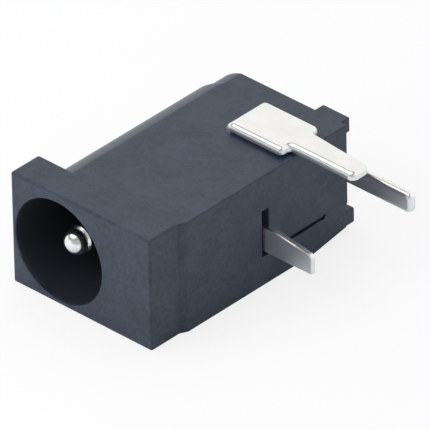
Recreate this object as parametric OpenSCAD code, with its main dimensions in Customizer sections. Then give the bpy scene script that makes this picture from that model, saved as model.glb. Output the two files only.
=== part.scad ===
// Right-angle board-mount DC barrel jack with a switched sleeve contact, lying on its side.
// X runs towards the board, Y runs into the mouth, Z runs up across the jack. All sizes in mm.
// The sub-parts are drawn from the flange's free corner, and in_place() moves that corner so
// that the origin lies under the middle of the whole jack.

/* [Flange] */
// Height of the flange, from its free side to its board side
flange_w = 6.7; // [6.5:0.05:7.5]
// Width of the flange and the body across the jack
flange_h = 4.65; // [4.65:0.05:5]
// Thickness of the flange
flange_t = 1.45; // [0.8:0.05:2]
// Radius along the flange's outer edges
flange_edge_r = 0.1; // [0.05:0.01:0.1]

/* [Barrel] */
// Bore of the barrel, which takes a 3.5 mm plug
mouth_d = 4.16; // [3.8:0.02:4.16]
// Distance from the flange's free side to the barrel's axis
axis_x = 2.25; // [2.24:0.01:2.32]
// How far the barrel's axis lies below the middle of the body
axis_drop = 0.1; // [0:0.01:0.1]
// Depth of the barrel from the front face
barrel_depth = 8.4; // [8.35:0.05:8.6]
// Radius of the mouth's edge
mouth_edge_r = 0.04; // [0.02:0.01:0.04]

/* [Body] */
// Length from the front face to the rear wall
body_len = 10.05; // [9.9:0.05:11]
// How far the board face stands proud of the flange
board_step = 0.15; // [0.05:0.05:0.3]
// How far the flange stands proud of the body's upper and lower sides
side_step = 0.02; // [0.02:0.01:0.05]
// How far the body's rounded side stands in from the flange's free side
round_inset = 0.02; // [0:0.01:0.05]
// Radius along the edges of the board face
body_edge_r = 0.06; // [0.02:0.01:0.1]
// Length of the smaller rear section
rear_len = 1.05; // [0.9:0.05:1.2]
// How far the rear section stands in from the flange's free side
rear_inset = 0.46; // [0.3:0.01:0.7]
// Corner radius of the rear section
rear_corner_r = 1.7; // [1:0.05:1.9]

/* [Ears and relief] */
// Height of each ear across the jack
ear_h = 0.62; // [0.4:0.02:0.8]
// Width of each ear along the board direction
ear_w = 1.28; // [0.8:0.02:1.6]
// How far the ears stand out behind the rear wall
ear_out = 0.45; // [0.35:0.05:0.6]
// How far the upper ear stands in from the board face
ear_step = 0.27; // [0.05:0.01:0.3]
// How far the lower ear stands in from the board face
low_ear_step = 0.1; // [0.05:0.01:0.3]
// Radius of the ears' corners
ear_r = 0.06; // [0.02:0.01:0.1]
// Length of the taper on the lower side, up to the rear wall
relief_len = 2.2; // [2:0.1:3]
// Height that the taper takes off at the rear wall
relief_rise = 0.25; // [0.1:0.05:0.3]
// Width that the taper takes off the strip below the slit at the rear wall
relief_in = 0.1; // [0.05:0.01:0.15]

/* [Board face] */
// Front edge of the slot for the sleeve blade, from the front face
slot_y = 5.52; // [5.4:0.02:5.6]
// Length of the slot along the body
slot_len = 0.42; // [0.36:0.02:0.5]
// Height of the slot across the jack
slot_h = 1.95; // [1.8:0.05:2]
// Middle of the slot above the resting side
slot_z = 2.22; // [2.2:0.01:2.28]
// Width of the slit behind the slot
slit_w = 0.16; // [0.1:0.01:0.2]
// Height of the slit above the resting side
slit_z = 1.33; // [1.3:0.01:1.36]
// Length of the slit behind the slot
slit_len = 2.86; // [2:0.02:3]
// Depth of the slit
slit_depth = 1.1; // [0.8:0.1:1.3]
// Diameter of the round end of the slit
slit_end_d = 0.24; // [0.2:0.02:0.3]

/* [Centre pin] */
// Diameter of the pin
pin_d = 1.05; // [0.9:0.05:1.3]
// How far the tip lies inside the mouth
pin_recess = 0.62; // [0.2:0.02:1]
// Diameter of the rounded tip
pin_tip_d = 0.99; // [0.8:0.01:1.04]
// Diameter at the bottom of the groove behind the tip
pin_groove_d = 0.84; // [0.7:0.02:0.9]
// Width of the groove behind the tip
pin_groove_w = 0.1; // [0.06:0.02:0.2]
// Diameter of the collar that seats on the rear wall
collar_d = 1.7; // [1.4:0.1:2]
// Thickness of the collar
collar_t = 0.25; // [0.2:0.05:0.4]
// Diameter of the tail through the rear wall
tail_d = 0.7; // [0.6:0.05:0.7]
// Diameter of the riveted head
rivet_d = 1.4; // [1.2:0.05:1.6]
// Height of the riveted head
rivet_h = 0.14; // [0.1:0.02:0.2]

/* [Terminals] */
// Thickness of the terminals' sheet
sheet_t = 0.3; // [0.25:0.01:0.35]
// How far the rear terminal stands out of the board face
pin_out = 2.8; // [2:0.1:3.5]
// Radius at the corners of the pins' ends
pin_end_r = 0.26; // [0.1:0.02:0.3]
// Width of the rear terminal's pin
rear_pin_w = 0.82; // [0.7:0.02:1]
// Diameter of the rear terminal's eye
eye_d = 2.2; // [2:0.1:2.4]
// How far the rear terminal's pin is set back from its eye
rear_set = 0.2; // [0.1:0.02:0.3]

/* [Sleeve spring] */
// Thickness of the spring's sheet
spring_t = 0.28; // [0.2:0.01:0.3]
// Width of the blade that leaves the slot
blade_w = 1.06; // [0.8:0.02:1.2]
// Middle of the blade above the resting side
blade_z = 1.95; // [1.9:0.01:2.1]
// How much shorter the blade is than the rear terminal's pin
blade_short = 0.55; // [0.2:0.05:0.8]
// Length of the slope at the blade's end
blade_slope_len = 1.8; // [1:0.1:2]
// Height of the slope at the blade's end
blade_slope_h = 0.26; // [0.2:0.02:0.4]
// Depth of the blade's shoulders below the board face
shoulder_in = 0.5; // [0.3:0.05:0.8]
// Width of the leaf
leaf_w = 2.1; // [1.9:0.05:2.2]
// How far the leaf laps over the end of the switch terminal's tab
leaf_lap = 0.25; // [0.15:0.05:0.35]
// How far the leaf bows into the barrel
leaf_bow = 0.25; // [0.2:0.01:0.3]
// Inner radius of the spring's bend
bend_r = 0.15; // [0.1:0.01:0.2]

/* [Switch terminal] */
// Width of the head plate along the body
head_w = 2.02; // [1.8:0.02:2.1]
// Middle of the terminal from the front face
switch_y = 7.9; // [7.85:0.01:7.95]
// Distance from the flange's free side to the bent end of the head plate
head_x = 3.85; // [3.8:0.01:3.95]
// How far the head plate's shoulders stop short of the board face
head_short = 0.25; // [0.1:0.05:0.5]
// Gap between the head plate and the body
head_gap = 0.1; // [0.08:0.01:0.15]
// Width of the pin at the head
neck_w = 1.08; // [0.8:0.01:1.1]
// Width of the pin at its end
neck_end_w = 0.9; // [0.7:0.01:0.95]
// How much shorter the switch terminal's pin is than the rear terminal's
neck_short = 0.15; // [0.05:0.05:0.4]
// Corner radius of the head plate
head_r = 0.2; // [0.1:0.02:0.3]
// Width of the inner tab that the leaf rests on
tab_w = 0.9; // [0.7:0.05:1]
// Depth of the shoulders inside the body
tab_shoulder = 0.7; // [0.5:0.05:0.8]
// Height of the tab's end above the resting side
tab_z = 3.25; // [3.2:0.05:3.4]

/* [Fits] */
// Clearance round the sheet parts in their slots
sheet_clear = 0.03; // [0.02:0.01:0.05]
// Clearance round the pin's tail
tail_clear = 0.01; // [0.005:0.005:0.02]
// Room behind the leaf for its travel
leaf_room = 0.4; // [0.3:0.05:0.5]

/* [Hidden] */
$fn = 96;
over = 1;
black = [0.16, 0.17, 0.19];
bright = [0.82, 0.83, 0.85];
board_x = flange_w + board_step;
mid_z = flange_h / 2;
axis_z = mid_z - axis_drop;
body_h = flange_h - 2 * side_step;
body_top = flange_h - side_step;
round_x = round_inset + body_h / 2;
step_y = body_len - rear_len;
ear_x = board_x - ear_step - ear_w;
tip_x = board_x + pin_out;
back_y = body_len + max(ear_out, rear_set + sheet_t, sheet_t + rivet_h);
// The spring: its leaf rests on the switch terminal's tab
leaf_x = head_x + sheet_t;
leaf_low = tab_z + leaf_lap - leaf_w;
blade_y = slot_y + slot_len - spring_t;
bow_y = slot_y + slot_len + 2 * bend_r;
bow_len = switch_y - tab_w / 2 - sheet_clear - bow_y;
leaf_end = switch_y + tab_w / 2;
// The channel beside the barrel that holds the leaf
channel_x = leaf_x + spring_t + leaf_room;
channel_end = max(barrel_depth, leaf_end + sheet_clear);
channel_low = leaf_low - sheet_clear;
channel_high = tab_z + leaf_lap + sheet_clear;
blade_tip = tip_x - blade_short;
neck_tip = tip_x - neck_short;

// Moves the flange's free lower corner so that the origin lies under the middle of the jack
module in_place() {
    translate([-tip_x / 2, -back_y / 2, 0])
        children();
}

// Flat outline with round corners, from the origin
module round_rect(w, h, r) {
    translate([r, 0])
        square([w - 2 * r, h]);
    translate([0, r])
        square([w, h - 2 * r]);
    for (x = [r, w - r], y = [r, h - r])
        translate([x, y])
            circle(r);
}

// Stands an XZ outline up and gives it a length along Y
module along_y(from, length) {
    translate([0, from + length, 0])
        rotate([90, 0, 0])
            linear_extrude(length)
                children();
}

// Stands a YZ outline up and gives it a length along X
module along_x(from, length) {
    translate([from, 0, 0])
        rotate([90, 0, 90])
            linear_extrude(length)
                children();
}

// Flange block, with a radius along each of its edges
module flange_block() {
    intersection() {
        along_y(0, flange_t)
            round_rect(flange_w, flange_h, flange_edge_r);
        along_x(0, flange_w)
            round_rect(flange_t, flange_h, flange_edge_r);
        linear_extrude(flange_h)
            round_rect(flange_w, flange_t, flange_edge_r);
    }
}

// Body section: half round on the free side, square on the board side
module body_outline() {
    translate([round_x, mid_z])
        circle(body_h / 2);
    translate([round_x, side_step])
        square([board_x - round_x - body_edge_r, body_h]);
    translate([round_x, side_step + body_edge_r])
        square([board_x - round_x, body_h - 2 * body_edge_r]);
    for (z = [side_step + body_edge_r, body_top - body_edge_r])
        translate([board_x - body_edge_r, z])
            circle(body_edge_r);
}

// Rear section, with two larger corners on the free side
module rear_outline() {
    intersection() {
        translate([rear_inset, side_step])
            round_rect(board_x, body_h, rear_corner_r);
        translate([rear_inset - over, side_step])
            round_rect(board_x - rear_inset + over, body_h, body_edge_r);
    }
}

// One of the two ears beside the rear terminal, at height z and a step in from the board face
module ear(z, step) {
    along_x(board_x - step - ear_w, ear_w)
        translate([body_len - over, z])
            round_rect(ear_out + over, ear_h, ear_r);
}

// Taper of the lower side towards the rear wall
module relief_cut() {
    rise = atan2(relief_rise, relief_len);
    turn = atan2(relief_in, relief_len);
    long = relief_len + over;
    translate([0, body_len - relief_len, 0]) {
        rotate([rise, 0, 0])
            translate([-over, 0, -over])
                cube([board_x + 2 * over, long, over]);
        translate([board_x, 0, -over])
            rotate([0, 0, turn])
                cube([over, long, over + slit_z]);
    }
}

// Barrel bore with a rounded mouth edge
module barrel_cut() {
    r = mouth_d / 2;
    translate([axis_x, 0, axis_z])
        rotate([-90, 0, 0]) {
            cylinder(h = barrel_depth, r = r);
            translate([0, 0, -over])
                cylinder(h = over + mouth_edge_r, r = r);
            rotate_extrude()
                difference() {
                    translate([r - mouth_edge_r, -mouth_edge_r])
                        square([2 * mouth_edge_r, 2 * mouth_edge_r]);
                    translate([r + mouth_edge_r, mouth_edge_r])
                        circle(mouth_edge_r);
                }
        }
}

// Slot, leaf channel and slit that open in the board face
module contact_cuts() {
    translate([axis_x, slot_y, slot_z - slot_h / 2])
        cube([board_x - axis_x + over, slot_len, slot_h]);
    translate([axis_x, slot_y, channel_low])
        cube([channel_x - axis_x, channel_end - slot_y, channel_high - channel_low]);
    translate([board_x - slit_depth, slot_y, slit_z - slit_w / 2])
        cube([slit_depth + over, slot_len + slit_len, slit_w]);
    translate([board_x - slit_depth, slot_y + slot_len + slit_len, slit_z])
        rotate([0, 90, 0])
            cylinder(h = slit_depth + over, d = slit_end_d);
}

// Slot in the upper side for the switch terminal's bent end
module switch_cut() {
    x = head_x - sheet_clear;
    t = sheet_t + 2 * sheet_clear;
    floor_z = body_top - tab_shoulder;
    translate([x, switch_y - head_w / 2 - sheet_clear, floor_z])
        cube([t, head_w + 2 * sheet_clear, tab_shoulder + over]);
    translate([x, switch_y - tab_w / 2 - sheet_clear, mid_z])
        cube([t, tab_w + 2 * sheet_clear, body_top - mid_z]);
}

// Moulded housing
module housing() {
    color(black)
        in_place() {
            difference() {
                union() {
                    flange_block();
                    along_y(flange_t / 2, step_y - flange_t / 2)
                        body_outline();
                    along_y(step_y - over, rear_len + over)
                        rear_outline();
                }
                flange_side_cut();
                relief_cut();
                barrel_cut();
                contact_cuts();
                switch_cut();
                translate([axis_x, 0, axis_z])
                    rotate([-90, 0, 0])
                        cylinder(h = body_len + over, d = tail_d + 2 * tail_clear);
            }
            ear(relief_rise, low_ear_step);
            ear(body_top - ear_h, ear_step);
        }
}

// Keeps the proud board face behind the flange
module flange_side_cut() {
    translate([flange_w, -over, -over])
        cube([board_step + over, flange_t + over, flange_h + 2 * over]);
}

// Half section of the turned pin: radius across, length up
module pin_outline() {
    tip_r = pin_tip_d / 2;
    dome_y = pin_recess + tip_r;
    groove_y = dome_y + pin_groove_w;
    intersection() {
        translate([0, dome_y])
            circle(tip_r);
        translate([0, pin_recess - over])
            square([pin_d, tip_r + over]);
    }
    polygon([
        [0, dome_y], [tip_r, dome_y], [pin_groove_d / 2, groove_y],
        [pin_d / 2, groove_y + (pin_d - pin_groove_d) / 2],
        [pin_d / 2, barrel_depth - collar_t], [collar_d / 2, barrel_depth - collar_t],
        [collar_d / 2, barrel_depth], [tail_d / 2, barrel_depth],
        [tail_d / 2, body_len + sheet_t], [0, body_len + sheet_t]
    ]);
    translate([0, body_len + sheet_t])
        intersection() {
            square([rivet_d / 2, rivet_h]);
            translate([0, rivet_h - rivet_r()])
                circle(rivet_r());
        }
}

// Radius of the rivet head's dome, which passes through its rim
function rivet_r() = (pow(rivet_d / 2, 2) + pow(rivet_h, 2)) / (2 * rivet_h);

// Turned centre pin, riveted behind the rear terminal
module centre_pin() {
    color(bright)
        in_place()
            translate([axis_x, 0, axis_z])
                rotate([-90, 0, 0])
                    rotate_extrude()
                        pin_outline();
}

// Strip outline with two round corners at its far end
module pin_end(from, to, w, r) {
    translate([from, -w / 2])
        square([to - from - r, w]);
    translate([from, -w / 2 + r])
        square([to - from, w - 2 * r]);
    for (s = [-1, 1])
        translate([to - r, s * (w / 2 - r)])
            circle(r);
}

// Stamped rear terminal: an eye on the pin's tail and a pin set back from it
module rear_terminal() {
    set_x = ear_x - 2 * rear_set;
    y = body_len;
    color(bright)
        in_place()
            difference() {
                intersection() {
                    along_y(y - over, back_y)
                        translate([0, mid_z]) {
                            translate([axis_x, -axis_drop])
                                circle(d = eye_d);
                            pin_end(axis_x, tip_x, rear_pin_w, pin_end_r);
                        }
                    linear_extrude(flange_h)
                        polygon([
                            [0, y], [set_x, y], [set_x + 2 * rear_set, y + rear_set],
                            [tip_x, y + rear_set], [tip_x, y + rear_set + sheet_t],
                            [set_x + 2 * rear_set, y + rear_set + sheet_t],
                            [set_x, y + sheet_t], [0, y + sheet_t]
                        ]);
                }
                translate([axis_x, y - over, axis_z])
                    rotate([-90, 0, 0])
                        cylinder(h = sheet_t + 2 * over, d = tail_d + 2 * tail_clear);
            }
}

// Leaf's outline: straight, one smooth bow towards the barrel's axis, straight
module leaf_outline() {
    steps = 24;
    rest_x = leaf_x;
    bow = [
        for (i = [0:steps])
            [rest_x - leaf_bow * (1 - cos(360 * i / steps)) / 2, bow_y + bow_len * i / steps]
    ];
    bend_y = blade_y + spring_t + bend_r;
    near = concat([[rest_x, bend_y]], bow, [[rest_x, leaf_end]]);
    far = [for (i = [len(near) - 1:-1:0]) near[i] + [spring_t, 0]];
    polygon(concat(near, far));
    difference() {
        translate([rest_x + spring_t + bend_r, bend_y])
            circle(spring_t + bend_r);
        translate([rest_x + spring_t + bend_r, bend_y])
            circle(bend_r);
        translate([rest_x, bend_y])
            square(over);
        translate([rest_x + spring_t + bend_r, blade_y - over])
            square(2 * over);
    }
}

// Blade's outline: shoulders in the slot, then the pin with its sloping end
module blade_outline() {
    shoulder_x = board_x - shoulder_in;
    top_z = blade_z + blade_w / 2;
    low_z = blade_z - blade_w / 2;
    start_x = leaf_x + spring_t + bend_r;
    wide_x = channel_x - sheet_clear;
    translate([start_x, leaf_low])
        square([wide_x - start_x, leaf_w]);
    translate([wide_x, slot_z - slot_h / 2 + sheet_clear])
        square([shoulder_x - wide_x, slot_h - 2 * sheet_clear]);
    difference() {
        translate([shoulder_x - over, low_z])
            square([blade_tip - shoulder_x + over, blade_w]);
        polygon([
            [blade_tip - blade_slope_len, top_z + over], [blade_tip - blade_slope_len, top_z],
            [blade_tip - spring_t / 2, top_z - blade_slope_h],
            [blade_tip, top_z - blade_slope_h - spring_t / 2],
            [blade_tip + over, top_z - blade_slope_h - spring_t / 2], [blade_tip + over, top_z + over]
        ]);
    }
}

// Sleeve contact: a leaf beside the barrel and a blade through the board face
module sleeve_spring() {
    color(bright)
        in_place() {
            translate([0, 0, leaf_low])
                linear_extrude(leaf_w)
                    leaf_outline();
            along_y(blade_y, spring_t)
                blade_outline();
        }
}

// Head plate and pin, seen from above
module head_outline() {
    head_end = board_x - head_short;
    translate([head_x + sheet_t, switch_y - head_w / 2])
        square([head_end - head_x - sheet_t - head_r, head_w]);
    translate([head_x + sheet_t, switch_y - head_w / 2 + head_r])
        square([head_end - head_x - sheet_t, head_w - 2 * head_r]);
    for (s = [-1, 1])
        translate([head_end - head_r, switch_y + s * (head_w / 2 - head_r)])
            circle(head_r);
    polygon([
        [head_end - head_r, switch_y - neck_w / 2], [neck_tip - pin_end_r, switch_y - neck_end_w / 2],
        [neck_tip - pin_end_r, switch_y + neck_end_w / 2], [head_end - head_r, switch_y + neck_w / 2]
    ]);
    translate([neck_tip - pin_end_r - sheet_t, switch_y])
        pin_end(0, pin_end_r + sheet_t, neck_end_w, pin_end_r);
}

// Switch terminal: a head plate on the upper side, its pin, and the bent end with the inner tab
module switch_terminal() {
    plate_z = body_top + head_gap;
    color(bright)
        in_place() {
            translate([0, 0, plate_z])
                linear_extrude(sheet_t)
                    head_outline();
            translate([head_x + sheet_t, switch_y + head_w / 2, plate_z])
                rotate([90, 0, 0])
                    intersection() {
                        cylinder(h = head_w, r = sheet_t);
                        translate([-sheet_t, 0, 0])
                            cube([sheet_t, sheet_t, head_w]);
                    }
            translate([head_x, switch_y - head_w / 2, body_top - tab_shoulder + sheet_clear])
                cube([sheet_t, head_w, tab_shoulder + head_gap - sheet_clear]);
            translate([head_x, switch_y - tab_w / 2, tab_z])
                cube([sheet_t, tab_w, plate_z - tab_z]);
        }
}

housing();
centre_pin();
rear_terminal();
sleeve_spring();
switch_terminal();
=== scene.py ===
import math

import bmesh
import bpy
from mathutils import Matrix, Vector

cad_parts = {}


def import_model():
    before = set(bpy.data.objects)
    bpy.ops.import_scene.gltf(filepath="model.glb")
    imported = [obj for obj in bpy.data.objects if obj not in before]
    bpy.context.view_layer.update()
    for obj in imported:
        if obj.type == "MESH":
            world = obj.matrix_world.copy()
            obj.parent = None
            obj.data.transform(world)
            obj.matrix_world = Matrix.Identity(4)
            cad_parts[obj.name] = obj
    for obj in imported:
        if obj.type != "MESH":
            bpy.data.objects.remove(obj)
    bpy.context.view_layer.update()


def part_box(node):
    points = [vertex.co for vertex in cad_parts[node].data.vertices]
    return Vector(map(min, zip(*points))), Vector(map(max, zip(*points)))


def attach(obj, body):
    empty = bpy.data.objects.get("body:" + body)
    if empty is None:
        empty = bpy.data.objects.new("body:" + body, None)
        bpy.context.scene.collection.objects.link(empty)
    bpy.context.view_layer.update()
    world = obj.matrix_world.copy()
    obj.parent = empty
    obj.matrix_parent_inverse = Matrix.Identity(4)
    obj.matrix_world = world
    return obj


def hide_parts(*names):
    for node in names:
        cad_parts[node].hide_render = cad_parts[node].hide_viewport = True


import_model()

# Pieces are made in millimetres from the flange's lower corner on the free side, away from the board,
# as in the part's source. settle() then brings them into the row's frame, in metres.
MM = 0.001
corner = Vector(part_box("housing")[0])

# Flange, mouth and barrel.
FLANGE_W, FLANGE_H, FLANGE_T, FLANGE_EDGE = 6.7, 4.65, 1.45, 0.1
MIDDLE_Z = FLANGE_H / 2
AXIS_X, AXIS_Z = 2.25, 2.225
MOUTH_R, MOUTH_EDGE, BARREL_DEPTH = 2.08, 0.06, 8.4

# Body behind the flange: its board face, the step to its smaller rear section and its end.
BOARD_X, STEP_Y, BODY_END = 6.85, 8.98, 10.05
BODY_LOW, BODY_TOP, BODY_EDGE = 0.02, 4.63, 0.06
SIDE_INSET, SIDE_R, SIDE_TILT = 0.02, 2.305, 15
REAR_INSET, REAR_R = 0.46, 1.8
EAR_W, EAR_H, EAR_OUT = 1.28, 0.62, 0.45
SLIT_Z, SLIT_END_Y = 1.33, 8.8

# Contacts: sheet thicknesses, the longest solder pin's end, and the outer face of the rear eye.
SHEET_T, SPRING_T = 0.3, 0.28
SOLDER_END_X = 9.65
EYE_BACK_Y = BODY_END + SHEET_T

# Spacing of the even cross lines that keep long slivers out of the sheets' flat faces.
GRID = 0.37


# ---- mesh helpers -------------------------------------------------------------------------


def keep(mesh_builder, name):
    """Turns a bmesh into an object in the scene."""
    bmesh.ops.recalc_face_normals(mesh_builder, faces=mesh_builder.faces)
    mesh = bpy.data.meshes.new(name)
    mesh_builder.to_mesh(mesh)
    mesh_builder.free()
    thing = bpy.data.objects.new(name, mesh)
    bpy.context.scene.collection.objects.link(thing)
    return thing


def arc(centre, radii, start, end, steps):
    """Points of an arc from one angle to another, in degrees, with a radius along each direction."""
    turns = [math.radians(start + (end - start) * i / steps) for i in range(steps + 1)]
    return [(centre[0] + radii[0] * math.cos(t), centre[1] + radii[1] * math.sin(t)) for t in turns]


def circle(centre, radius, steps):
    """Flat circle as an outline."""
    return arc(centre, (radius, radius), 0, 360, steps)[:-1]


def outline(*corners, steps=6):
    """Flat outline through (u, v, radius) corners, each rounded to its radius."""
    points = []
    for index, (u, v, radius) in enumerate(corners):
        here = Vector((u, v))
        if radius == 0:
            points.append((u, v))
            continue
        before = (Vector(corners[index - 1][:2]) - here).normalized()
        after = (Vector(corners[(index + 1) % len(corners)][:2]) - here).normalized()
        half = before.angle(after) / 2
        centre = here + (before + after).normalized() * radius / math.sin(half)
        start = here + before * radius / math.tan(half) - centre
        end = here + after * radius / math.tan(half) - centre
        turn = math.atan2(start.cross(end), start.dot(end))
        for step in range(steps + 1):
            points.append(tuple(centre + Matrix.Rotation(turn * step / steps, 2) @ start))
    return points


def inset(points, distance):
    """An outline moved inwards by the same distance all round."""
    flat = [Vector(p) for p in points]
    turn = 1 if sum(a.cross(b) for a, b in zip(flat, flat[1:] + flat[:1])) > 0 else -1
    moved = []
    for before, here, after in zip(flat[-1:] + flat[:-1], flat, flat[1:] + flat[:1]):
        inwards = ((here - before).normalized() + (after - here).normalized()).orthogonal() * turn
        moved.append(tuple(here + inwards * (2 * distance / inwards.length_squared)))
    return moved


def along(axis, u, v, w):
    """A point from two outline values and its place along an axis."""
    return {"x": (w, u, v), "y": (u, w, v), "z": (u, v, w)}[axis]


def loft(axis, sections):
    """Solid through (place, outline) sections along an axis."""
    shape = bmesh.new()
    rings = [
        [shape.verts.new(along(axis, u, v, place)) for u, v in points] for place, points in sections
    ]
    for near, far in zip(rings, rings[1:]):
        for i in range(len(near)):
            j = (i + 1) % len(near)
            shape.faces.new((near[i], near[j], far[j], far[i]))
    shape.faces.new(rings[0])
    shape.faces.new(rings[-1])
    return shape


def rounded_end(points, place, radius, way, steps=3):
    """Sections that round an outline's rim, from its end face inwards; way is 1 or -1."""
    if not radius:
        return [(place, points)]
    turns = [math.pi / 2 * i / steps for i in range(steps + 1)]
    return [
        (place + way * radius * (1 - math.cos(t)), inset(points, radius * (1 - math.sin(t))))
        for t in turns
    ]


def prism(points, axis, start, end, roll=0.0, low_roll=0.0, steps=3):
    """Solid over an outline; roll and low_roll round the rims of its far and near faces."""
    apart = [p for i, p in enumerate(points) if math.dist(p, points[i - 1]) > 0.0001]
    near = rounded_end(apart, start, low_roll, 1, steps)
    far = rounded_end(apart, end, roll, -1, steps)
    return loft(axis, near + far[::-1])


def lathe(profile, steps):
    """Solid turned round the barrel's axis from (radius, place along it) points."""
    shape = bmesh.new()
    rings = []
    for radius, y in profile:
        on_axis = radius < 0.0001
        ring = [(AXIS_X, AXIS_Z)] if on_axis else circle((AXIS_X, AXIS_Z), radius, steps)
        rings.append([shape.verts.new((x, y, z)) for x, z in ring])
    for low, high in zip(rings, rings[1:]):
        for i in range(steps):
            j = (i + 1) % steps
            face = [low[i % len(low)], low[j % len(low)], high[j % len(high)], high[i % len(high)]]
            shape.faces.new(list(dict.fromkeys(face)))
    return shape


def combine(base, others, operation):
    """Joins the others to the base or cuts them from it, and removes them."""
    for other in others:
        step = base.modifiers.new("step", "BOOLEAN")
        step.operation, step.solver, step.object = operation, "EXACT", other
    graph = bpy.context.evaluated_depsgraph_get()
    mesh = bpy.data.meshes.new_from_object(base.evaluated_get(graph))
    base.modifiers.clear()
    base.data = mesh
    for other in others:
        bpy.data.objects.remove(other)


def slice_along(shape, axis, places):
    """Adds cross lines to a mesh at places along an axis."""
    normal = Vector({"x": (1, 0, 0), "z": (0, 0, 1)}[axis])
    for place in places:
        parts = shape.verts[:] + shape.edges[:] + shape.faces[:]
        bmesh.ops.bisect_plane(shape, geom=parts, plane_co=normal * place, plane_no=normal)


def settle(thing, sharp_degrees=32, grid=0):
    """Cleans a finished piece, smooths its shading and puts it into the row's frame.

    Where a grid is given, even cross lines so far apart are added.
    """
    shape = bmesh.new()
    shape.from_mesh(thing.data)
    bmesh.ops.remove_doubles(shape, verts=shape.verts, dist=0.0004)
    bmesh.ops.dissolve_limit(
        shape, angle_limit=math.radians(0.2), verts=shape.verts, edges=shape.edges, delimit=set()
    )
    if grid:
        for axis, longest in (("x", SOLDER_END_X), ("z", BODY_TOP + 0.5)):
            slice_along(shape, axis, [grid * i for i in range(1, int(longest / grid))])
    shape.to_mesh(thing.data)
    shape.free()
    thing.data.polygons.foreach_set("use_smooth", [True] * len(thing.data.polygons))
    thing.data.set_sharp_from_angle(angle=math.radians(sharp_degrees))
    weights = thing.modifiers.new("weights", "WEIGHTED_NORMAL")
    weights.keep_sharp, weights.weight = True, 60
    graph = bpy.context.evaluated_depsgraph_get()
    mesh = bpy.data.meshes.new_from_object(thing.evaluated_get(graph))
    thing.modifiers.clear()
    thing.data = mesh
    mesh.transform(Matrix.Translation(corner) @ Matrix.Scale(MM, 4))
    return thing


def ease(part):
    """0 to 1 with a soft start and end, held outside them."""
    part = min(max(part, 0), 1)
    return part * part * (3 - 2 * part)


# ---- housing ------------------------------------------------------------------------------


def flange_block():
    """Front flange, with every edge rounded."""
    shape = bmesh.new()
    bmesh.ops.create_cube(shape, size=1)
    bmesh.ops.scale(shape, vec=(FLANGE_W, FLANGE_T, FLANGE_H), verts=shape.verts)
    bmesh.ops.translate(shape, vec=(FLANGE_W / 2, FLANGE_T / 2, FLANGE_H / 2), verts=shape.verts)
    bmesh.ops.bevel(
        shape, geom=shape.edges[:], offset=FLANGE_EDGE, segments=5, profile=0.5,
        affect="EDGES", clamp_overlap=False,
    )
    return keep(shape, "housing_shell")


def body_outline(side_inset, side_r, board_x, low, high, edge):
    """Section of the body: a round free side, tilted where it starts, and a square board side."""
    centre_x = side_inset + side_r
    centre_z = high - side_r * math.cos(math.radians(SIDE_TILT))
    upper = arc((centre_x, centre_z), (side_r, side_r), 90 + SIDE_TILT, 180, 24)
    lower = [(x, low + high - z) for x, z in reversed(upper)]
    board = outline(
        (centre_x, low, 0), (board_x, low, edge), (board_x, high, edge), (centre_x, high, 0)
    )
    return upper + lower + board[1:-1]


def body_block():
    """Body and its smaller rear section, with a sloped ledge at the flange."""
    overlap, step_long, end_edge, ledge = 0.002, 0.28, 0.05, BOARD_X - FLANGE_W
    wide = body_outline(SIDE_INSET, SIDE_R, BOARD_X, BODY_LOW, BODY_TOP, BODY_EDGE)
    narrow = body_outline(REAR_INSET, REAR_R, BOARD_X, BODY_LOW, BODY_TOP, BODY_EDGE)
    flush = [(x - ledge * (x > BOARD_X - 2 * BODY_EDGE), z) for x, z in wide]
    start = FLANGE_T - overlap
    sections = [(start, flush), (start + 2 * ledge, wide), (STEP_Y, wide)]
    for part in (0.15, 0.5, 0.85, 1):
        between = [
            (x + (u - x) * ease(part), z + (v - z) * ease(part)) for (x, z), (u, v) in zip(wide, narrow)
        ]
        sections.append((STEP_Y + step_long * part, between))
    sections += rounded_end(narrow, BODY_END, end_edge, -1)[::-1]
    return keep(loft("y", sections), "body_block")


def flange_back():
    """Fills the flange's rear rounding where the body runs into it."""
    hair = 0.001
    points = body_outline(
        SIDE_INSET, SIDE_R + 0.01, FLANGE_W - hair, hair, FLANGE_H - hair, FLANGE_EDGE
    )
    return keep(prism(points, "y", FLANGE_T / 2, FLANGE_T), "flange_back")


def ear(step, low):
    """One of the two ears beside the rear terminal, a step in from the board face."""
    right, edge = BOARD_X - step, 0.07
    left, high = right - EAR_W, low + EAR_H
    points = outline((left, low, edge), (right, low, edge), (right, high, edge), (left, high, edge))
    return keep(prism(points, "y", BODY_END - 0.5, BODY_END + EAR_OUT, roll=0.06), "ear")


def box_cut(x, y, z):
    """Plain cutter from its ranges along the three axes."""
    points = [(x[0], y[0]), (x[1], y[0]), (x[1], y[1]), (x[0], y[1])]
    return keep(prism(points, "z", z[0], z[1]), "cutter")


def rear_relief():
    """Cutters for the slopes at the rear end, under the body and beside its low board corner."""
    long, rise, turn, past, outside = 2.2, 0.25, 0.1, 1, 9
    start, end = BODY_END - long, BODY_END + past
    further = (long + past) / long
    under = [(start, 0), (end, rise * further), (end, -1), (start, -1)]
    beside = [(BOARD_X, start), (BOARD_X - turn * further, end), (outside, end), (outside, start)]
    return [
        keep(prism(under, "x", -1, outside), "cutter"),
        keep(prism(beside, "z", -1, SLIT_Z), "cutter"),
    ]


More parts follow.
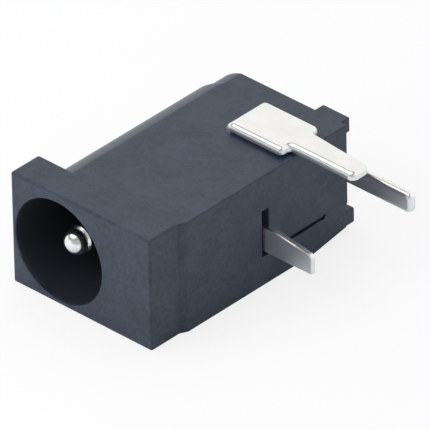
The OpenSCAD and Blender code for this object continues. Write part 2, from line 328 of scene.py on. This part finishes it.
def housing_cuts():
    """Every opening of the housing."""
    outside, slit_from, slit_half, slit_end_r = 9, 5.7, 0.078, 0.12
    lip = arc((MOUTH_R + MOUTH_EDGE, MOUTH_EDGE), (MOUTH_EDGE, MOUTH_EDGE), 270, 180, 5)
    barrel = [(0, -1), (MOUTH_R + MOUTH_EDGE, -1)] + lip + [(MOUTH_R, BARREL_DEPTH), (0, BARREL_DEPTH)]
    slit_end = circle((SLIT_END_Y, SLIT_Z), slit_end_r, 24)
    slot = box_cut((AXIS_X, outside), (5.57, 5.94), (1.25, 3.195))
    leaf_room = box_cut((AXIS_X, 4.8), (5.53, BARREL_DEPTH - 0.01), (1.37, 3.53))
    slit = box_cut((slit_from, outside), (5.8, SLIT_END_Y), (SLIT_Z - slit_half, SLIT_Z + slit_half))
    head_seat = box_cut((3.9, 4.15), (6.96, 8.84), (3.95, 6))
    tab_hole = box_cut((3.83, 4.17), (7.42, 8.37), (MIDDLE_Z, 4.2))
    return rear_relief() + [
        keep(lathe(barrel, 96), "cutter"),
        slot,
        leaf_room,
        slit,
        keep(prism(slit_end, "x", slit_from, outside), "cutter"),
        head_seat,
        tab_hole,
    ]


def build_housing():
    """Moulded housing with its mouth, slot, slit and the seat of the switch terminal."""
    shell = flange_block()
    combine(shell, [flange_back(), body_block()], "UNION")
    combine(shell, housing_cuts(), "DIFFERENCE")
    low_ear, high_ear = ear(0.1, 0.25), ear(0.27, BODY_TOP - EAR_H - 0.004)
    combine(shell, [low_ear, high_ear], "UNION")
    return settle(shell)


# ---- contacts -----------------------------------------------------------------------------


def build_pin():
    """Turned centre pin with a domed tip, a groove behind it, a collar and a riveted head."""
    tip_y, tip_r, tip_long, groove_r, pin_r = 0.48, 0.51, 0.48, 0.42, 0.525
    collar_y, collar_r, tail_r, head_r, head_h = 8.15, 0.85, 0.35, 0.7, 0.14
    dome, head_y = tip_y + tip_long, EYE_BACK_Y
    profile = arc((0, dome), (tip_r, tip_long), 270, 360, 16)
    profile += [(tip_r - 0.01, dome + 0.03), (groove_r, dome + 0.1), (groove_r, dome + 0.12)]
    profile += [(pin_r - 0.02, dome + 0.19), (pin_r, dome + 0.22), (pin_r, collar_y - 0.03)]
    profile += [(pin_r + 0.025, collar_y), (collar_r - 0.03, collar_y), (collar_r, collar_y + 0.03)]
    profile += [(collar_r, BARREL_DEPTH), (tail_r, BARREL_DEPTH), (tail_r, head_y)]
    profile += [(head_r - 0.01, head_y), (head_r, head_y + 0.02), (head_r - 0.1, head_y + 0.09)]
    profile += [(tail_r, head_y + head_h), (0, head_y + head_h)]
    return settle(keep(lathe(profile, 72), "turned_pin"), sharp_degrees=40)


def build_rear_terminal():
    """Stamped rear terminal: an eye on the pin's tail and a blade set back from it."""
    half, eye_r, end_r, set_back, bend_from, bend_to = 0.41, 1.1, 0.26, 0.2, 4.75, 5.45
    low, high = MIDDLE_Z - half, MIDDLE_Z + half
    upper, lower = (math.degrees(math.asin((z - AXIS_Z) / eye_r)) for z in (high, low))
    eye = arc((AXIS_X, AXIS_Z), (eye_r, eye_r), upper, 360 + lower, 48)
    blade = outline(
        (AXIS_X, low, 0), (SOLDER_END_X, low, end_r), (SOLDER_END_X, high, end_r), (AXIS_X, high, 0)
    )
    shape = prism(eye + blade[1:-1], "y", BODY_END, EYE_BACK_Y, roll=0.03, low_roll=0.17, steps=6)
    slice_along(shape, "x", [bend_from + (bend_to - bend_from) * i / 10 for i in range(11)])
    for vert in shape.verts:
        vert.co.y += set_back * ease((vert.co.x - bend_from) / (bend_to - bend_from))
    return settle(keep(shape, "rear_blade"), grid=GRID)


def build_sleeve_spring():
    """Sleeve contact: the leaf beside the barrel and the blade through the slot."""
    leaf_x, leaf_low, leaf_high, leaf_end = 4.15, 1.4, 3.5, 8.35
    blade_y, blade_low, blade_high, blade_end = 5.66, 1.42, 2.48, 9.1
    root_x, wide_from, wide_to, wide_low, wide_high = 4.5, 4.77, 6.3, 1.28, 3.16
    slope_long, slope_h = 1.8, 0.27
    points = outline(
        (root_x, leaf_low, 0), (wide_from, leaf_low, 0), (wide_from, wide_low, 0),
        (wide_to, wide_low, 0.07), (wide_to, blade_low, 0.05),
        (blade_end, blade_low, 0.08), (blade_end, blade_high - slope_h, 0.2),
        (blade_end - slope_long, blade_high, 1.2), (wide_to, blade_high, 0.05),
        (wide_to, wide_high, 0.07), (wide_from, wide_high, 0), (root_x, wide_high, 0),
    )
    shape = prism(points, "y", blade_y, blade_y + SPRING_T, roll=0.04, low_roll=0.06)
    blade = keep(shape, "sleeve_blade")

    bend_r, bow, bow_from, bow_to = 0.15, 0.25, 6.24, 7.42
    centre, outer_r = (leaf_x + SPRING_T + bend_r, blade_y + SPRING_T + bend_r), SPRING_T + bend_r
    straight = []
    for i in range(25):
        swell = (1 - math.cos(2 * math.pi * i / 24)) / 2
        straight.append((leaf_x - bow * swell, bow_from + (bow_to - bow_from) * i / 24))
    straight.append((leaf_x, leaf_end))
    near = arc(centre, (outer_r, outer_r), 270, 180, 10) + straight
    far = arc(centre, (bend_r, bend_r), 270, 180, 8) + [(x + SPRING_T, y) for x, y in straight[1:]]
    leaf = keep(prism(near + far[::-1], "z", leaf_low, leaf_high, roll=0.04, low_roll=0.04), "leaf")
    combine(blade, [leaf], "UNION")

    thin_from, thinning, middle = 7, 0.3, blade_y + SPRING_T / 2
    for vert in blade.data.vertices:
        thin = min(max((vert.co.x - thin_from) / (blade_end - thin_from), 0), 1)
        vert.co.y = middle + (vert.co.y - middle) * (1 - thinning * thin)
    return settle(blade, grid=GRID)


def build_switch_terminal():
    """Switch terminal: a head plate, its narrower pin, and the end bent down into the housing.

    It is cut flat, as from sheet, and the part left of bend_x is then bent down by a quarter turn.
    """
    plate_z, head_x, middle_y, inner_r = BODY_TOP + 0.1, 3.85, 7.9, 0.06
    shoulder_z, tab_z = 3.98, 3.25
    half, tab_half, neck, neck_end, wider, sag = 1.01, 0.45, 0.54, 0.45, 0.1, 0.1
    head_end, tip = BOARD_X - 0.25, SOLDER_END_X - 0.15
    bend_x = head_x + SHEET_T + inner_r
    quarter = math.pi / 2 * (inner_r + SHEET_T)
    shoulder = bend_x - quarter - (plate_z - inner_r - shoulder_z)
    tab_end = shoulder - (shoulder_z - tab_z)

    def side(neck_half):
        return [
            (tab_end, tab_half, 0.22), (shoulder, tab_half, 0.22), (shoulder, half, 0.22),
            (head_end, half, 0.21), (head_end, neck_half, 0.14), (tip, neck_end, 0.28),
        ]

    mouth_side = [(x, -y, r) for x, y, r in reversed(side(neck))]
    points = [(x, middle_y + y) for x, y in outline(*side(neck + wider), *mouth_side)]
    shape = prism(points, "z", plate_z, plate_z + SHEET_T, roll=0.2, low_roll=0.03, steps=7)
    slice_along(shape, "x", [bend_x - quarter * i / 12 for i in range(13)])
    slice_along(shape, "x", [head_end + 0.2 + 0.5 * i for i in range(6)])
    centre_z = plate_z - inner_r
    for vert in shape.verts:
        back = bend_x - vert.co.x
        if back <= 0:
            vert.co.z -= sag * (max(vert.co.x - head_end, 0) / (tip - head_end)) ** 1.4
            continue
        radius = vert.co.z - centre_z
        angle = min(back / quarter, 1) * math.pi / 2
        vert.co.x = bend_x - radius * math.sin(angle)
        vert.co.z = centre_z + radius * math.cos(angle) - max(back - quarter, 0)
    return settle(keep(shape, "switch_plate"), grid=GRID)


# ---- materials ----------------------------------------------------------------------------


class Value:
    """A shader socket; an expression on it adds the Math nodes that it needs."""

    def __init__(self, shade, socket):
        self.shade, self.socket = shade, socket

    def math(self, operation, first, second=0.0):
        """Adds one Math node."""
        return self.shade.node("ShaderNodeMath", {"operation": operation}, {0: first, 1: second})

    def __add__(self, other):
        return self.math("ADD", self, other)

    def __radd__(self, other):
        return self.math("ADD", other, self)

    def __sub__(self, other):
        return self.math("SUBTRACT", self, other)

    def __rsub__(self, other):
        return self.math("SUBTRACT", other, self)

    def __mul__(self, other):
        return self.math("MULTIPLY", self, other)

    def __rmul__(self, other):
        return self.math("MULTIPLY", other, self)

    def __pow__(self, other):
        return self.math("POWER", self, other)

    def between(self, low, high):
        """0 below low, 1 above high, smooth between them."""
        return self.shade.node(
            "ShaderNodeMapRange",
            {"interpolation_type": "SMOOTHSTEP"},
            {"Value": self, "From Min": low, "From Max": high},
        )

    def unsigned(self):
        """The value without its sign."""
        return self.math("ABSOLUTE", self)


class Shade:
    """The node tree of a material, or of the world."""

    def __init__(self, name, owner=None):
        self.owner = owner or bpy.data.materials.new(name)
        self.owner.use_nodes = True
        self.tree = self.owner.node_tree
        self.tree.nodes.clear()

    def node(self, kind, settings, inputs, out=0):
        """Adds a node, sets it up, then gives its sockets their values or links."""
        made = self.tree.nodes.new(kind)
        for name, value in settings.items():
            setattr(made, name, value)
        for name, value in inputs.items():
            if isinstance(value, Value):
                self.tree.links.new(value.socket, made.inputs[name])
            else:
                made.inputs[name].default_value = value
        return Value(self, made.outputs[out])

    def place(self, stretch=(1, 1, 1)):
        """The surface point in millimetres, with each axis scaled."""
        coordinates = self.node("ShaderNodeTexCoord", {}, {}, "Object")
        return self.node(
            "ShaderNodeMapping", {}, {"Vector": coordinates, "Scale": tuple(s / MM for s in stretch)}
        )

    def noise(self, per_mm, detail=3.0, rough=0.55, stretch=(1, 1, 1)):
        """Cloudy noise with so many features per millimetre; a low stretch draws them out."""
        return self.node(
            "ShaderNodeTexNoise", {},
            {"Vector": self.place(stretch), "Scale": per_mm, "Detail": detail, "Roughness": rough},
        )

    def facing_up_or_down(self):
        """How squarely the surface faces up or down, 0 to 1."""
        normal = self.node("ShaderNodeNewGeometry", {}, {}, "Normal")
        return self.node("ShaderNodeSeparateXYZ", {}, {0: normal}, "Z").unsigned()

    def blend(self, part, first, second):
        """Colour from the first to the second (sockets 6, 7 and 2 are a Mix node's colours)."""
        return self.node("ShaderNodeMix", {"data_type": "RGBA"}, {0: part, 6: first, 7: second}, 2)

    def bore_shade_mask(self):
        """Mask of the painted shade in the bore: 1 in the barrel's bore, 0 on the outer faces."""
        point, shift = self.place(), corner / MM
        x, y, z = (self.node("ShaderNodeSeparateXYZ", {}, {0: point}, axis) for axis in "XYZ")
        across, up, depth = x - (shift.x + AXIS_X), z - (shift.z + AXIS_Z), y - shift.y
        from_axis = (across * across + up * up) ** 0.5
        in_bore = 1 - from_axis.between(MOUTH_R + 0.01, MOUTH_R + 0.05)
        before_wall = 1 - depth.between(BARREL_DEPTH + 0.2, BARREL_DEPTH + 0.8)
        return in_bore * depth.between(0.03, 0.3) * before_wall

    def bump(self, height, depth, strength):
        """Fine relief as deep as so many millimetres."""
        return self.node(
            "ShaderNodeBump", {}, {"Height": height, "Distance": depth * MM, "Strength": strength}
        )

    def finish(self, **sockets):
        """The surface shader, from its sockets' values."""
        inputs = {name.replace("_", " "): value for name, value in sockets.items()}
        surface = self.node("ShaderNodeBsdfPrincipled", {}, inputs)
        return self.end(surface)

    def end(self, surface, output="ShaderNodeOutputMaterial"):
        """Joins the finished surface to the output."""
        last = self.tree.nodes.new(output)
        self.tree.links.new(surface.socket, last.inputs["Surface"])
        return self.owner


def moulded_plastic():
    """Blue-black glass-filled plastic: flow mottle, fine matt grain and pale dust; painted shade
    darkens the bore.
    """
    shade = Shade("moulded_plastic")
    cloud = shade.noise(0.9, 3, 0.55)
    mottle = shade.noise(4.2, 3, 0.6)
    speckle = shade.noise(11, 2, 0.55)
    grain = shade.noise(30, 2, 0.6)
    tone = (cloud * 0.3 + mottle * 0.4 + speckle * 0.3).between(0.36, 0.64)
    colour = shade.blend(tone, (0.022, 0.031, 0.050, 1), (0.043, 0.056, 0.083, 1))
    cells = shade.node("ShaderNodeTexVoronoi", {}, {"Vector": shade.place(), "Scale": 6.0}, "Distance")
    dust = (1 - cells.between(0.05, 0.14)) * shade.noise(2.3, 1).between(0.55, 0.66)
    colour = shade.blend(dust * 0.3, colour, (0.16, 0.17, 0.18, 1))
    # Painted shade: the bore's inside is coloured darker than the outer faces.
    colour = shade.blend(shade.bore_shade_mask(), colour, (0.024, 0.029, 0.036, 1))
    rough = 0.25 + tone * 0.06 + grain * 0.12 + dust * 0.2
    height = grain * 0.35 + speckle * 0.35 + mottle * 0.5
    relief = shade.bump(height, 0.010, 0.7)
    return shade.finish(Base_Color=colour, Roughness=rough, Normal=relief, Specular_IOR_Level=0.36)


def tin_plate():
    """Bright tin on stamped sheet: rolling lines, faint spangle and duller patches; faces that point
    sideways are rougher and get a painted blue-grey reflection.
    """
    shade = Shade("tin_plate")
    rolled = shade.noise(10, 3, 0.6, (0.12, 1, 1))
    spangle = shade.noise(6, 2, 0.5)
    cloud = shade.noise(1.3, 3, 0.55)
    scratch = shade.noise(24, 1, 0.5, (0.05, 1, 1)).between(0.6, 0.72)
    side = 1 - shade.facing_up_or_down().between(0.25, 0.8)
    patches = cloud.between(0.35, 0.7)
    colour = shade.blend(patches, (0.87, 0.865, 0.84, 1), (0.92, 0.915, 0.895, 1))
    # Painted reflection: faces that point sideways, both the cut edges and the blades' broad faces, are
    # tinted blue-grey as if they mirrored the plastic.
    colour = shade.blend(side * 0.7, colour, (0.87, 0.89, 0.93, 1))
    rough = 0.13 + rolled * 0.06 + cloud * 0.06 + scratch * 0.06 + side * 0.2
    height = (rolled * 0.4 + spangle * 0.6 - scratch * 0.2) * (1 - side * 0.6)
    relief = shade.bump(height, 0.004, 0.5)
    return shade.finish(Base_Color=colour, Roughness=rough, Normal=relief, Metallic=1.0)


def nickel_pin():
    """Bright nickel on the turned pin, with fine rings from the lathe."""
    shade = Shade("nickel_plate")
    rings = shade.noise(1, 3, 0.6, (2, 34, 2))
    cloud = shade.noise(2.0, 3, 0.55)
    rub = shade.noise(1, 2, 0.5, (14, 0.6, 14))
    colour = shade.blend(cloud.between(0.3, 0.7), (0.85, 0.855, 0.86, 1), (0.93, 0.93, 0.935, 1))
    rough = 0.08 + rings * 0.08 + rub * 0.08
    relief = shade.bump(rings, 0.003, 0.5)
    return shade.finish(Base_Color=colour, Roughness=rough, Normal=relief, Metallic=1.0)


def dress(piece, node, material):
    """Gives a piece its material and makes it stand for its node."""
    piece.data.materials.clear()
    piece.data.materials.append(material)
    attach(piece, "root")
    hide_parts(node)


dress(build_housing(), "housing", moulded_plastic())
dress(build_pin(), "centre_pin", nickel_pin())
tin = tin_plate()
dress(build_rear_terminal(), "rear_terminal", tin)
dress(build_sleeve_spring(), "sleeve_spring", tin)
dress(build_switch_terminal(), "switch_terminal", tin)


# ---- studio -------------------------------------------------------------------------------


def floor():
    """Plain pale floor that keeps the shadow."""
    shape = bmesh.new()
    bmesh.ops.create_grid(shape, x_segments=1, y_segments=1, size=1.5)
    sheet = keep(shape, "floor")
    shade = Shade("pale_floor")
    colour = shade.blend(shade.noise(0.02, 2, 0.5), (0.9, 0.9, 0.9, 1), (0.92, 0.92, 0.92, 1))
    matt = {"Base Color": colour, "Roughness": 0.9, "Specular IOR Level": 0.1}
    plain = shade.node("ShaderNodeBsdfPrincipled", {}, matt)
    glow = shade.node("ShaderNodeEmission", {}, {"Color": (1, 1, 1, 1), "Strength": 1.0})
    seen = shade.node("ShaderNodeLightPath", {}, {}, "Is Camera Ray")
    shown = shade.node("ShaderNodeMixShader", {}, {0: seen * 0.8, 1: plain, 2: glow})
    sheet.data.materials.append(shade.end(shown))


def world():
    """Even studio light; reflections see a white room, a soft box in a dim frame, and a dim side."""
    sky = bpy.data.worlds.new("studio")
    bpy.context.scene.world = sky
    shade = Shade("studio", sky)
    camera_ray, glossy_ray, clear_ray = (
        shade.node("ShaderNodeLightPath", {}, {}, name)
        for name in ("Is Camera Ray", "Is Glossy Ray", "Is Transmission Ray")
    )
    way = shade.node("ShaderNodeTexCoord", {}, {}, "Generated")

    def towards(x, y, z):
        length = math.sqrt(x * x + y * y + z * z)
        aim = (x / length, y / length, z / length)
        settings = {"operation": "DOT_PRODUCT"}
        return shade.node("ShaderNodeVectorMath", settings, {0: way, 1: aim}, "Value")

    dim_side = towards(0.6, -0.72, 0.35).between(0.5, 0.95)
    box = towards(-0.2, -0.35, 0.91)
    dim_ring = box.between(0.62, 0.68) * (1 - box.between(0.82, 0.87))
    dimmed = 0.62 * dim_ring + 0.5 * dim_side * (1 - dim_ring)
    room = 1 + (0.5 * box.between(0.86, 0.90) - dimmed) * glossy_ray
    plain = shade.node("ShaderNodeBackground", {}, {"Color": (0.95, 0.98, 1, 1), "Strength": 0.61})
    white = shade.node("ShaderNodeBackground", {}, {"Color": (1, 1, 1, 1), "Strength": room})
    shown = (camera_ray + glossy_ray + clear_ray).between(0.0, 1.0)
    mixed = shade.node("ShaderNodeMixShader", {}, {0: shown, 1: plain, 2: white})
    shade.end(mixed, "ShaderNodeOutputWorld")


def lamp(name, place, width, watts):
    """Square soft lamp at a place in millimetres, turned to the jack; reflections don't show it."""
    light = bpy.data.lights.new(name, "AREA")
    light.size, light.energy = width * MM, watts
    holder = bpy.data.objects.new(name, light)
    bpy.context.scene.collection.objects.link(holder)
    holder.location = Vector(place) * MM
    jack_middle = Vector((0, 0, 2))
    away = Vector(place) - jack_middle
    holder.rotation_euler = away.to_track_quat("Z", "Y").to_euler()
    holder.visible_glossy = False


def camera():
    """Long lens, high at the front right corner, as the jack is seen."""
    turn, rise, lean = math.radians(43.54), math.radians(33.76), math.radians(-1.15)
    back = Vector((math.sin(turn) * math.cos(rise), -math.cos(turn) * math.cos(rise), math.sin(rise)))
    side = Vector((math.cos(turn), math.sin(turn), 0))
    up = back.cross(side)
    right = side * math.cos(lean) + up * math.sin(lean)
    over = up * math.cos(lean) - side * math.sin(lean)
    distance, lens, aim_right, aim_over = 437.1, 1035.4, 1.0558, -0.5581
    body_middle = Vector((3.35, 5.36, 2.278))
    aim = corner / MM + body_middle + right * aim_right + over * aim_over
    lens_data = bpy.data.cameras.new("camera")
    lens_data.lens, lens_data.sensor_width = lens, 36
    lens_data.clip_start, lens_data.clip_end = 0.01, 10
    holder = bpy.data.objects.new("camera", lens_data)
    bpy.context.scene.collection.objects.link(holder)
    turned = Matrix((right, over, back)).transposed().to_4x4()
    holder.matrix_world = Matrix.Translation((aim + back * distance) * MM) @ turned
    bpy.context.scene.camera = holder


floor()
world()
lamp("top_lamp", (-25, 20, 82), 60, 0.016)
lamp("front_lamp", (-30, -62, 58), 66, 0.038)
camera()
bpy.context.scene.view_settings.view_transform = "Standard"
